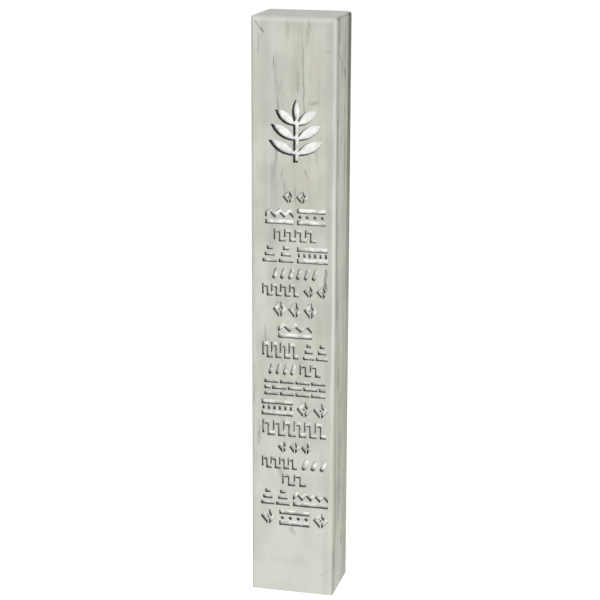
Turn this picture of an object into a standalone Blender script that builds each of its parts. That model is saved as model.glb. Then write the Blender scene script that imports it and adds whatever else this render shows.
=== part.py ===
"""Mezuzah case: a slim cast-resin doorpost case that holds a rolled parchment behind a bottom stopper.

Frame: metres, +Z up, origin at the bottom centre of the whole object's box. The decorated front
faces -Y and the adhesive back faces +Y.
"""

import math
from collections import namedtuple

import bmesh
import bpy
from mathutils import Vector

MM = 0.001

# Driving dimensions: the case
CASE_HEIGHT = 150.0 * MM
CASE_WIDTH = 21.7 * MM
CASE_DEPTH = 16.0 * MM
SOFT_EDGE_RADIUS = 0.8 * MM
SOFT_EDGE_SEGMENTS = 4
CRISP_EDGE_RADIUS = 0.25 * MM
CRISP_EDGE_SEGMENTS = 2

BORE_RADIUS = 5.5 * MM
BORE_SET_BACK = 0.7 * MM
BORE_END_CHAMFER = 1.0 * MM
STOPPER_SEAT_RADIUS = 6.5 * MM
STOPPER_SEAT_DEPTH = 1.9 * MM
NOTCH_RADIUS = 1.9 * MM

# The parchment and its wrap
SHEET_SIZE = 120.0 * MM
SCROLL_RADIUS = 4.55 * MM
SCROLL_PITCH = 0.45 * MM
SCROLL_END_GAP = 1.0 * MM
PARCHMENT_THICKNESS = 0.25 * MM
WRAP_THICKNESS = 0.12 * MM
WRAP_TURNS = 1.15
WRAP_PITCH = 0.3 * MM
WRAP_OVERHANG = 1.5 * MM
WRAP_GAP = 0.15 * MM

# The stopper
FLANGE_THICKNESS = 1.5 * MM
FLANGE_SIDE_GAP = 0.3 * MM
PLUG_LENGTH = 9.0 * MM
STEM_INSET = 0.8 * MM
TIP_INSET = 1.2 * MM
TIP_TAPER = 0.2 * MM
TIP_LENGTH = 1.2 * MM
HOLLOW_RADIUS = 2.6 * MM
HOLLOW_FLOOR = 2.0 * MM
STOPPER_CHAMFER = 0.3 * MM
RIB_COUNT = 3
RIB_HEIGHT = 1.1 * MM
RIB_CREST = 0.4 * MM
FIRST_RIB = 0.75
RUNNING_GAP = 0.1 * MM

# The engraved rows. Stroke sizes are shares of a row's height, weights are shares of a level bar's
# thickness, and the last two are shares of a cell's width.
ENGRAVING_DEPTH = 1.0 * MM
ART_CENTRE_X = 0.55 * MM
ROWS_TOP = 107.0 * MM
LARGE_ROW = 4.15 * MM
SMALL_ROW = 3.15 * MM
ROW_GAP = 1.22 * MM
ROW_GROWTH = 0.0015
SEGMENT_GAP = 0.9 * MM
BAR_SHARE = 0.29
LEG_SHARE = 0.13
AIR_SHARE = 0.09
COURSE_WEIGHT = 0.78
ZIGZAG_WEIGHT = 1.1
GADROON_LEAN = 0.4
PYRAMID_TAPER = 0.3

# The emblem
EMBLEM_HEIGHT = 15.3 * MM
EMBLEM_BOTTOM = 114.3 * MM
EMBLEM_POCKET_DEPTH = 1.9 * MM
INLAY_THICKNESS = 0.5 * MM
INLAY_GAP = 0.12 * MM
STEM_WIDTH = 1.0 * MM
LOWEST_LEAF = 2.0 * MM
LEAF_SPACING = 3.7 * MM
LEAF_HALF_WIDTH = 1.05 * MM
LEAF_NECK = 0.35 * MM
LEAVES = ((7.0 * MM, 27), (6.6 * MM, 31), (5.6 * MM, 36))
TOP_LEAF_LENGTH = 4.6 * MM
TOP_LEAF_BULGE = 0.55 * MM

# The adhesive pads and their liners
PAD_WIDTH = 12.0 * MM
PAD_HEIGHT = 30.0 * MM
PAD_THICKNESS = 1.0 * MM
PAD_CORNER = 1.0 * MM
PAD_SPACING = 90.0 * MM
LINER_OVERHANG = 0.6 * MM
LINER_TAB = 4.0 * MM
LINER_THICKNESS = 0.12 * MM
LINER_CORNER = 1.6 * MM
FILM_GAP = 0.05 * MM

ROUND_SEGMENTS = 48
CUTTER_REACH = 2.0 * MM
MERGE_DISTANCE = 0.001 * MM

# Places that follow from them
BACK_STACK = FILM_GAP + PAD_THICKNESS + FILM_GAP + LINER_THICKNESS
CASE_CENTRE_Y = -BACK_STACK / 2
FRONT_Y = CASE_CENTRE_Y - CASE_DEPTH / 2
BACK_Y = CASE_CENTRE_Y + CASE_DEPTH / 2
BORE_Y = CASE_CENTRE_Y + BORE_SET_BACK
FLANGE_BOTTOM = STOPPER_SEAT_DEPTH - FLANGE_THICKNESS - RUNNING_GAP
PLUG_TOP = STOPPER_SEAT_DEPTH + PLUG_LENGTH
SCROLL_BOTTOM = PLUG_TOP + SCROLL_END_GAP + WRAP_OVERHANG
BORE_TOP = SCROLL_BOTTOM + SHEET_SIZE + WRAP_OVERHANG + SCROLL_END_GAP


# Helpers

def clear_scene():
    """Removes whatever the open scene holds."""
    for old in list(bpy.data.objects):
        bpy.data.objects.remove(old, do_unlink=True)


def make_material(name, colour, roughness, metallic=0.0, alpha=1.0):
    """A plain Principled material."""
    material = bpy.data.materials.new(name)
    material.use_nodes = True
    shader = material.node_tree.nodes["Principled BSDF"]
    shader.inputs["Base Color"].default_value = (*colour, 1.0)
    shader.inputs["Roughness"].default_value = roughness
    shader.inputs["Metallic"].default_value = metallic
    shader.inputs["Alpha"].default_value = alpha
    return material


def finish_object(name, bm, location=(0, 0, 0), material=None, smooth_angle=35):
    """Turns a bmesh into a named object whose faces point outwards."""
    bmesh.ops.remove_doubles(bm, verts=bm.verts, dist=MERGE_DISTANCE)
    bmesh.ops.recalc_face_normals(bm, faces=bm.faces)
    mesh = bpy.data.meshes.new(name)
    bm.to_mesh(mesh)
    bm.free()
    mesh.shade_smooth()
    mesh.set_sharp_from_angle(angle=math.radians(smooth_angle))
    made = bpy.data.objects.new(name, mesh)
    made.location = location
    bpy.context.scene.collection.objects.link(made)
    if material:
        mesh.materials.append(material)
    return made


def cut(target, cutter):
    """Takes the cutter's space out of the target and hides the cutter."""
    modifier = target.modifiers.new(cutter.name, "BOOLEAN")
    modifier.operation = "DIFFERENCE"
    modifier.solver = "EXACT"
    modifier.object = cutter
    cutter.hide_render = True
    cutter.display_type = "WIRE"


def add_prism(bm, outline, start, end, to_point):
    """Adds a closed prism: the flat outline swept from start to end along the third direction."""
    near = [bm.verts.new(to_point(u, v, start)) for u, v in outline]
    far = [bm.verts.new(to_point(u, v, end)) for u, v in outline]
    bm.faces.new(near)
    bm.faces.new(reversed(far))
    for i in range(len(outline)):
        j = (i + 1) % len(outline)
        bm.faces.new((near[j], near[i], far[i], far[j]))


def upright(x, z, y):
    """Places a shape that is drawn on the front or back face and swept along Y."""
    return Vector((x, y, z))


def level(x, y, z):
    """Places a shape that is drawn on the end face and swept along Z."""
    return Vector((x, y, z))


def add_lathe(bm, profile, segments=ROUND_SEGMENTS):
    """Adds a solid of revolution about Z from (radius, z) points that start and end on the axis."""
    verts = [bm.verts.new((radius, 0, z)) for radius, z in profile]
    edges = [bm.edges.new(pair) for pair in zip(verts, verts[1:])]
    bmesh.ops.spin(
        bm, geom=verts + edges, cent=(0, 0, 0), axis=(0, 0, 1),
        angle=math.tau, steps=segments, use_duplicate=False,
    )
    bmesh.ops.remove_doubles(bm, verts=bm.verts, dist=MERGE_DISTANCE)


def rounded_rectangle(width, height, radius, centre=(0, 0), steps=5):
    """Outline of a rectangle with round corners."""
    outline = []
    corners = ((1, 1, 0), (-1, 1, 90), (-1, -1, 180), (1, -1, 270))
    for side_u, side_v, start in corners:
        middle_u = centre[0] + side_u * (width / 2 - radius)
        middle_v = centre[1] + side_v * (height / 2 - radius)
        for step in range(steps + 1):
            angle = math.radians(start + 90 * step / steps)
            outline.append((middle_u + radius * math.cos(angle), middle_v + radius * math.sin(angle)))
    return outline


def spiral_band(inner_radius, pitch, turns, thickness, steps_per_turn=28):
    """Outline of a sheet of even thickness rolled outwards from the inner radius."""
    steps = math.ceil(turns * steps_per_turn)
    inner, outer = [], []
    for step in range(steps + 1):
        turn = turns * step / steps
        angle = math.tau * turn
        radius = inner_radius + pitch * turn
        inner.append((radius * math.cos(angle), radius * math.sin(angle)))
        radius += thickness
        outer.append((radius * math.cos(angle), radius * math.sin(angle)))
    return outer + inner[::-1]


# Engraved ornament. A motif fills its field with count cells and returns closed outlines, none of
# which touch: bar is the thickness of level strokes, leg of upright ones, and air is the gap.

Field = namedtuple("Field", "left right low high bar leg air")


def cells(field, count):
    """Splits the field into equal cells with air between them, as (left, right) pairs."""
    pitch = (field.right - field.left + field.air) / count
    return [(field.left + i * pitch, field.left + (i + 1) * pitch - field.air) for i in range(count)]


def block(left, right, low, high):
    """Outline of a plain rectangle."""
    return [(left, low), (right, low), (right, high), (left, high)]


def bead(x, z, size):
    """Outline of a small upright lozenge."""
    return [(x - size, z), (x, z - size), (x + size, z), (x, z + size)]


def ribbon(path, bar, leg):
    """Outline of a square-cornered path whose level runs are bar thick and upright runs leg thick."""
    sides = {1: [], -1: []}
    for i, (x, z) in enumerate(path):
        offset_x = offset_z = 0.0
        for a, b in ((i - 1, i), (i, i + 1)):
            if a < 0 or b >= len(path):
                continue
            run_x = path[b][0] - path[a][0]
            run_z = path[b][1] - path[a][1]
            if abs(run_x) > abs(run_z):
                offset_z = math.copysign(bar / 2, run_x)
            else:
                offset_x = -math.copysign(leg / 2, run_z)
        for side, points in sides.items():
            points.append((x + side * offset_x, z + side * offset_z))
    return sides[1] + sides[-1][::-1]


def battlement(field, count):
    """One running square wave of count teeth."""
    low, high = field.low + field.bar / 2, field.high - field.bar / 2
    start = field.left + field.leg / 2
    run = (field.right - field.left - field.leg) / (2 * count)
    path = []
    for i in range(2 * count):
        ends = (low, high) if i % 2 == 0 else (high, low)
        path += [(start + i * run, ends[0]), (start + i * run, ends[1])]
    path.append((field.right - field.leg / 2, low))
    return [ribbon(path, field.bar, field.leg)]


def zigzag(field, count):
    """A running zigzag with count peaks over a level bar."""
    foot = field.low + field.bar + field.air
    thickness = ZIGZAG_WEIGHT * field.bar
    run = (field.right - field.left) / (2 * count)
    upper = []
    for i in range(2 * count + 1):
        upper.append((field.left + i * run, field.high if i % 2 else foot + thickness))
    lower = [(x, z - thickness) for x, z in upper]
    return [block(field.left, field.right, field.low, field.low + field.bar), lower + upper[::-1]]


def bricks(field, count):
    """Three courses of level bars, the middle course moved along by half a bar."""
    outlines = []
    courses = 3
    thickness = COURSE_WEIGHT * field.bar
    pitch = (field.right - field.left + field.air) / count
    for course in range(courses):
        low = field.low + course * (field.high - field.low - thickness) / (courses - 1)
        start = field.left - (pitch / 2 if course % 2 else 0.0)
        for i in range(count + 1):
            left = max(field.left, start + i * pitch)
            right = min(field.right, start + (i + 1) * pitch - field.air)
            if right - left > field.leg:
                outlines.append(block(left, right, low, low + thickness))
    return outlines


def diamonds(field, count):
    """Open lozenges, each made of two facing chevrons round a bead."""
    outlines = []
    middle_z = (field.low + field.high) / 2
    rise = field.high - middle_z
    slit = field.air / 2
    for left, right in cells(field, count):
        middle, half = (left + right) / 2, (right - left) / 2
        tip = field.bar * rise / (half - slit)
        inner = half - field.bar
        for side in (-1, 1):
            outlines.append([
                (middle + side * half, middle_z), (middle + side * slit, field.high),
                (middle + side * slit, field.high - tip), (middle + side * inner, middle_z),
                (middle + side * slit, field.low + tip), (middle + side * slit, field.low),
            ])
        outlines.append(bead(middle, middle_z, (inner - slit) / 2))
    return outlines


def gadroons(field, count):
    """Slanted strokes with pointed ends, as on a rope moulding."""
    outlines = []
    point = field.bar / 2
    for left, right in cells(field, count):
        lean = (right - left) * GADROON_LEAN
        half = (right - left - lean) / 2
        foot, head = left + half, right - half
        outlines.append([
            (foot, field.low), (foot + half, field.low + point), (head + half, field.high - point),
            (head, field.high), (head - half, field.high - point), (foot - half, field.low + point),
        ])
    return outlines


def steps(field, count):
    """Stepped pyramids built of three level bars."""
    outlines = []
    levels = 3
    thickness = COURSE_WEIGHT * field.bar
    rise = (field.high - field.low - thickness) / (levels - 1)
    for left, right in cells(field, count):
        inset = (right - left) * PYRAMID_TAPER / (levels - 1)
        for step in range(levels):
            low = field.low + step * rise
            outlines.append(block(left + step * inset, right - step * inset, low, low + thickness))
    return outlines


def two_bars(field):
    """Outlines of the level bars along the top and the foot of a field."""
    return [
        block(field.left, field.right, field.high - field.bar, field.high),
        block(field.left, field.right, field.low, field.low + field.bar),
    ]


def rails(field, count):
    """Two long level bars with beads between them."""
    middle_z = (field.low + field.high) / 2
    beads = [bead((left + right) / 2, middle_z, field.leg) for left, right in cells(field, count)]
    return two_bars(field) + beads


def ladder(field, count):
    """Two long level bars with short uprights between them."""
    low, high = field.low + field.bar + field.air, field.high - field.bar - field.air
    rungs = []
    for left, right in cells(field, count):
        middle = (left + right) / 2
        rungs.append(block(middle - field.leg / 2, middle + field.leg / 2, low, high))
    return two_bars(field) + rungs


# One entry for each row from the top: row height, width, then (motif, count, share of the width)
ROWS = (
    (SMALL_ROW, 6.6 * MM, ((diamonds, 2, 1.0),)),
    (LARGE_ROW, 15.5 * MM, ((zigzag, 3, 0.5), (rails, 4, 0.5))),
    (SMALL_ROW, 11.1 * MM, ((battlement, 4, 1.0),)),
    (LARGE_ROW, 16.9 * MM, ((steps, 2, 0.5), (ladder, 6, 0.5))),
    (SMALL_ROW, 12.0 * MM, ((gadroons, 6, 1.0),)),
    (SMALL_ROW, 17.1 * MM, ((battlement, 4, 0.6), (diamonds, 2, 0.4))),
    (LARGE_ROW, 11.6 * MM, ((diamonds, 3, 1.0),)),
    (LARGE_ROW, 8.8 * MM, ((zigzag, 3, 1.0),)),
    (LARGE_ROW, 17.1 * MM, ((battlement, 4, 0.6), (steps, 2, 0.4))),
    (SMALL_ROW, 14.0 * MM, ((gadroons, 4, 0.56), (battlement, 2, 0.44))),
    (LARGE_ROW, 16.0 * MM, ((bricks, 4, 1.0),)),
    (LARGE_ROW, 17.5 * MM, ((ladder, 6, 0.5), (diamonds, 2, 0.5))),
    (LARGE_ROW, 17.1 * MM, ((battlement, 6, 1.0),)),
    (SMALL_ROW, 9.0 * MM, ((diamonds, 3, 1.0),)),
    (SMALL_ROW, 17.4 * MM, ((battlement, 4, 0.58), (gadroons, 3, 0.42))),
    (SMALL_ROW, 6.5 * MM, ((battlement, 2, 1.0),)),
    (LARGE_ROW, 17.8 * MM, ((steps, 2, 0.45), (zigzag, 4, 0.55))),
    (LARGE_ROW, 18.0 * MM, ((diamonds, 1, 0.25), (rails, 4, 0.5), (diamonds, 1, 0.25))),
)


def row_outlines():
    """Every engraved outline of the panel, worked down from its top row."""
    outlines = []
    top = ROWS_TOP
    for number, (base_height, width, segments) in enumerate(ROWS):
        growth = 1 + ROW_GROWTH * number
        height = base_height * growth
        strokes = [share * height for share in (BAR_SHARE, LEG_SHARE, AIR_SHARE)]
        left = ART_CENTRE_X - width / 2
        drawn_width = width - SEGMENT_GAP * (len(segments) - 1)
        for motif, count, share in segments:
            right = left + share * drawn_width
            outlines += motif(Field(left, right, top - height, top, *strokes), count)
            left = right + SEGMENT_GAP
        top -= height + ROW_GAP * growth
    return outlines


def curve_points(start, control, end, steps=6):
    """Points of a quadratic curve, without its last point."""
    points = []
    for step in range(steps):
        t = step / steps
        points.append(tuple(
            (1 - t) ** 2 * a + 2 * t * (1 - t) * b + t ** 2 * c
            for a, b, c in zip(start, control, end)
        ))
    return points


def leaf_side(start, end, bulge):
    """One long edge of a leaf, which swells to its right by the bulge."""
    along = Vector(end) - Vector(start)
    outwards = Vector((along.y, -along.x)).normalized()
    control = (Vector(start) + Vector(end)) / 2 + outwards * 2 * bulge
    return curve_points(start, control, end)


def sprig_outline():
    """Counter-clockwise outline of an olive sprig: a stem with three pairs of leaves and one on top."""
    edge = STEM_WIDTH / 2
    right = [(edge, 0.0)]
    for number, (length, lean) in enumerate(LEAVES):
        joint = LOWEST_LEAF + number * LEAF_SPACING
        angle = math.radians(lean)
        tip = (edge + length * math.cos(angle), joint + length * math.sin(angle))
        right += leaf_side((edge, joint - LEAF_NECK), tip, LEAF_HALF_WIDTH)
        right += leaf_side(tip, (edge, joint + LEAF_NECK), LEAF_HALF_WIDTH)
        right.append((edge, joint + LEAF_NECK))
    top = (0.0, EMBLEM_HEIGHT)
    right += leaf_side((edge, EMBLEM_HEIGHT - TOP_LEAF_LENGTH), top, TOP_LEAF_BULGE)
    left = [(-x, z) for x, z in reversed(right)]
    return right + [top] + left


def offset_outline(outline, distance):
    """Moves each point of a counter-clockwise outline outwards by the distance."""
    moved = []
    longest_reach = 2.0
    for i, point in enumerate(outline):
        here = Vector(point)
        before = (here - Vector(outline[i - 1])).normalized()
        after = (Vector(outline[(i + 1) % len(outline)]) - here).normalized()
        normal_before = Vector((before.y, -before.x))
        normal_after = Vector((after.y, -after.x))
        middle = (normal_before + normal_after).normalized()
        reach = min(1 / middle.dot(normal_before), longest_reach)
        moved.append(tuple(here + middle * distance * reach))
    return moved


def emblem_outline(grow):
    """The sprig at its place on the front face, grown outwards all round by grow."""
    return [(x + ART_CENTRE_X, z + EMBLEM_BOTTOM) for x, z in offset_outline(sprig_outline(), grow)]


# Sub-parts

def lies_crisp(edge):
    """True for an edge in the plane of the case's back or of its bottom end."""
    in_back = all(vert.co.y > BACK_Y - MERGE_DISTANCE for vert in edge.verts)
    in_bottom = all(vert.co.z < MERGE_DISTANCE for vert in edge.verts)
    return in_back or in_bottom


def round_edges(bm, edges, radius, segments):
    """Rounds the given edges of a bmesh."""
    bmesh.ops.bevel(
        bm, geom=edges, offset=radius, offset_type="OFFSET",
        segments=segments, profile=0.5, affect="EDGES",
    )


def make_case_body(material):
    """The cast case: a block with soft edges, bored from below and engraved on its front."""
    bm = bmesh.new()
    bmesh.ops.create_cube(bm, size=1.0)
    bmesh.ops.scale(bm, vec=(CASE_WIDTH, CASE_DEPTH, CASE_HEIGHT), verts=bm.verts)
    bmesh.ops.translate(bm, vec=(0, CASE_CENTRE_Y, CASE_HEIGHT / 2), verts=bm.verts)
    soft = [edge for edge in bm.edges if not lies_crisp(edge)]
    round_edges(bm, soft, SOFT_EDGE_RADIUS, SOFT_EDGE_SEGMENTS)
    crisp = [edge for edge in bm.edges if lies_crisp(edge)]
    round_edges(bm, crisp, CRISP_EDGE_RADIUS, CRISP_EDGE_SEGMENTS)
    body = finish_object("case_body", bm, material=material)
    cut(body, make_bore_cutter())
    cut(body, make_notch_cutter())
    cut(body, make_engraving_cutter())
    cut(body, make_emblem_cutter())
    return body


def make_bore_cutter():
    """The blind bore for the parchment, widened at its mouth to seat the stopper's flange."""
    bm = bmesh.new()
    add_lathe(bm, [
        (0, -CUTTER_REACH), (STOPPER_SEAT_RADIUS, -CUTTER_REACH),
        (STOPPER_SEAT_RADIUS, STOPPER_SEAT_DEPTH), (BORE_RADIUS, STOPPER_SEAT_DEPTH),
        (BORE_RADIUS, BORE_TOP - BORE_END_CHAMFER), (BORE_RADIUS - BORE_END_CHAMFER, BORE_TOP),
        (0, BORE_TOP),
    ])
    return finish_object("bore_cutter", bm, location=(0, BORE_Y, 0))


def make_notch_cutter():
    """The fingernail notch beside the stopper's flange."""
    bm = bmesh.new()
    bmesh.ops.create_uvsphere(bm, u_segments=20, v_segments=12, radius=NOTCH_RADIUS)
    return finish_object("notch_cutter", bm, location=(STOPPER_SEAT_RADIUS, BORE_Y, 0))


def make_engraving_cutter():
    """All the rows of engraved ornament as prisms that reach into the front face."""
    bm = bmesh.new()
    for outline in row_outlines():
        add_prism(bm, outline, FRONT_Y - CUTTER_REACH, FRONT_Y + ENGRAVING_DEPTH, upright)
    return finish_object("engraving_cutter", bm)


def make_emblem_cutter():
    """The pocket for the inlaid emblem."""
    bm = bmesh.new()
    add_prism(
        bm, emblem_outline(INLAY_GAP), FRONT_Y - CUTTER_REACH, FRONT_Y + EMBLEM_POCKET_DEPTH, upright,
    )
    return finish_object("emblem_cutter", bm)


def make_emblem_inlay(material):
    """The thin silver emblem that lies in its pocket, a little below the front face."""
    bm = bmesh.new()
    back = FRONT_Y + EMBLEM_POCKET_DEPTH - FILM_GAP
    add_prism(bm, emblem_outline(0.0), back - INLAY_THICKNESS, back, upright)
    return finish_object("emblem_inlay", bm, material=material)


def stopper_ribs(stem_radius, rib_radius):
    """Profile points of the sealing ribs, up along the stem."""
    points = []
    pitch = PLUG_LENGTH / (RIB_COUNT + 1)
    for rib in range(RIB_COUNT):
        middle = STOPPER_SEAT_DEPTH + (rib + FIRST_RIB) * pitch
        points += [
            (stem_radius, middle - RIB_HEIGHT / 2), (rib_radius, middle - RIB_CREST / 2),
            (rib_radius, middle + RIB_CREST / 2), (stem_radius, middle + RIB_HEIGHT / 2),
        ]
    return points


def make_stopper(material):
    """The silicone stopper: a flange, a tapered plug with sealing ribs and a hollow tip."""
    bm = bmesh.new()
    chamfer = STOPPER_CHAMFER
    flange_radius = STOPPER_SEAT_RADIUS - FLANGE_SIDE_GAP
    flange_top = FLANGE_BOTTOM + FLANGE_THICKNESS
    stem_radius = BORE_RADIUS - STEM_INSET
    tip_radius = BORE_RADIUS - TIP_INSET
    hollow_bottom = STOPPER_SEAT_DEPTH + HOLLOW_FLOOR
    flange = [
        (0, FLANGE_BOTTOM), (flange_radius - chamfer, FLANGE_BOTTOM),
        (flange_radius, FLANGE_BOTTOM + chamfer), (flange_radius, flange_top - chamfer),
        (flange_radius - chamfer, flange_top), (stem_radius, flange_top),
    ]
    tip = [
        (tip_radius + TIP_TAPER, PLUG_TOP - TIP_LENGTH), (tip_radius, PLUG_TOP - chamfer),
        (tip_radius - chamfer, PLUG_TOP), (HOLLOW_RADIUS + chamfer, PLUG_TOP),
    ]
    hollow = [
        (HOLLOW_RADIUS, PLUG_TOP - chamfer), (HOLLOW_RADIUS, hollow_bottom + chamfer),
        (HOLLOW_RADIUS - chamfer, hollow_bottom), (0, hollow_bottom),
    ]
    add_lathe(bm, flange + stopper_ribs(stem_radius, BORE_RADIUS - RUNNING_GAP) + tip + hollow)
    return finish_object("silicone_stopper", bm, location=(0, BORE_Y, 0), material=material)


def make_scroll(material):
    """The parchment sheet, rolled with a little air between its turns."""
    turns_area = SHEET_SIZE * SCROLL_PITCH / math.pi
    inner_radius = math.sqrt(SCROLL_RADIUS ** 2 - turns_area)
    turns = (SCROLL_RADIUS - inner_radius) / SCROLL_PITCH
    start = inner_radius - PARCHMENT_THICKNESS
    bm = bmesh.new()
    add_prism(bm, spiral_band(start, SCROLL_PITCH, turns, PARCHMENT_THICKNESS), 0, SHEET_SIZE, level)
    return finish_object(
        "parchment_scroll", bm, location=(0, BORE_Y, SCROLL_BOTTOM), material=material,
    )


def make_wrap(material):
    """The clear film wrapped a little over once round the scroll."""
    inner_radius = SCROLL_RADIUS + WRAP_GAP
    length = SHEET_SIZE + 2 * WRAP_OVERHANG
    bm = bmesh.new()
    add_prism(bm, spiral_band(inner_radius, WRAP_PITCH, WRAP_TURNS, WRAP_THICKNESS), 0, length, level)
    return finish_object(
        "clear_scroll_wrap", bm, location=(0, BORE_Y, SCROLL_BOTTOM - WRAP_OVERHANG),
        material=material,
    )


def make_pad(name, centre_z, material):
    """One double-sided foam pad on the back of the case."""
    bm = bmesh.new()
    outline = rounded_rectangle(PAD_WIDTH, PAD_HEIGHT, PAD_CORNER)
    start = BACK_Y + FILM_GAP
    add_prism(bm, outline, start, start + PAD_THICKNESS, upright)
    return finish_object(name, bm, location=(0, 0, centre_z), material=material)


def make_liner(name, centre_z, material):
    """The release film over a pad, with a pull tab below the pad."""
    bm = bmesh.new()
    width = PAD_WIDTH + 2 * LINER_OVERHANG
    height = PAD_HEIGHT + 2 * LINER_OVERHANG + LINER_TAB
    outline = rounded_rectangle(width, height, LINER_CORNER, centre=(0, -LINER_TAB / 2))
    start = BACK_Y + FILM_GAP + PAD_THICKNESS + FILM_GAP
    add_prism(bm, outline, start, start + LINER_THICKNESS, upright)
    return finish_object(name, bm, location=(0, 0, centre_z), material=material)


def build():
    """Makes every sub-part and hangs it on one empty."""
    clear_scene()
    resin = make_material("cast_resin", (0.60, 0.60, 0.54), 0.45)
    silver = make_material("silver_inlay", (0.86, 0.86, 0.85), 0.25, metallic=1.0)
    silicone = make_material("silicone", (0.62, 0.63, 0.60), 0.55)
    parchment = make_material("parchment", (0.78, 0.66, 0.45), 0.7)
    film = make_material("clear_film", (0.92, 0.94, 0.95), 0.12, alpha=0.35)
    foam = make_material("adhesive_foam", (0.86, 0.86, 0.84), 0.9)
    liner = make_material("release_liner", (0.70, 0.50, 0.16), 0.35)

    pieces = [
        make_case_body(resin),
        make_emblem_inlay(silver),
        make_stopper(silicone),
        make_scroll(parchment),
        make_wrap(film),
    ]
    for side, label in ((1, "upper"), (-1, "lower")):
        centre_z = CASE_HEIGHT / 2 + side * PAD_SPACING / 2
        pieces.append(make_pad(f"{label}_foam_pad", centre_z, foam))
        pieces.append(make_liner(f"{label}_release_liner", centre_z, liner))

    root = bpy.data.objects.new("mezuzah_case", None)
    bpy.context.scene.collection.objects.link(root)
    for piece in pieces:
        piece.parent = root


build()
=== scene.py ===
"""Looks of the mezuzah case: procedural materials, its soft pieces, a pale stage and the camera."""
import math
from collections import namedtuple

import bmesh
import bpy
from mathutils import Matrix, Vector, noise


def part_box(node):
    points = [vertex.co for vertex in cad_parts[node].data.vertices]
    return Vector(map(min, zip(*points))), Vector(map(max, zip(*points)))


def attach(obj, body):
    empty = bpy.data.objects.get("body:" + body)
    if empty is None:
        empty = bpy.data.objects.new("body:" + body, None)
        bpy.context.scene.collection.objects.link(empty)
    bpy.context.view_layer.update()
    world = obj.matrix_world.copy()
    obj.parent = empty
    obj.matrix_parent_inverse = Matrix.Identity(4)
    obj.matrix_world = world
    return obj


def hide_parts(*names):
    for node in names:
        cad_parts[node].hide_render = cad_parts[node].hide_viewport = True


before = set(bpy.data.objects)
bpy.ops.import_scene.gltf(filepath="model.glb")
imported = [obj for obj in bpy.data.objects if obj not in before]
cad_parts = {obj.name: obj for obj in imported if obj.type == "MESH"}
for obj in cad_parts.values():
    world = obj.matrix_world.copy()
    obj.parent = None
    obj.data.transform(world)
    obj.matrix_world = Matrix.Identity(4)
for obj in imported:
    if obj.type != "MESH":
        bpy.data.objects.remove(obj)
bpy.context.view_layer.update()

MM = 0.001

# Case geometry, read from model.glb
CASE_LOW, CASE_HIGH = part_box("case_body")
CASE_CENTRE = (CASE_LOW + CASE_HIGH) / 2
CASE_SIZE = CASE_HIGH - CASE_LOW
HALF_WIDTH = CASE_SIZE.x / 2
EMBLEM_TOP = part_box("emblem_inlay")[1].z

# The engraved part of the case: just under the front face, between plain borders
FRONT_SKIN = 0.08 * MM
DEEPEST_ENGRAVING = 2.3 * MM
PLAIN_BORDER = 1.0 * MM
PLAIN_FOOT = 12 * MM
ENGRAVED_MARGIN = 2 * MM


# Node building

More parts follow.
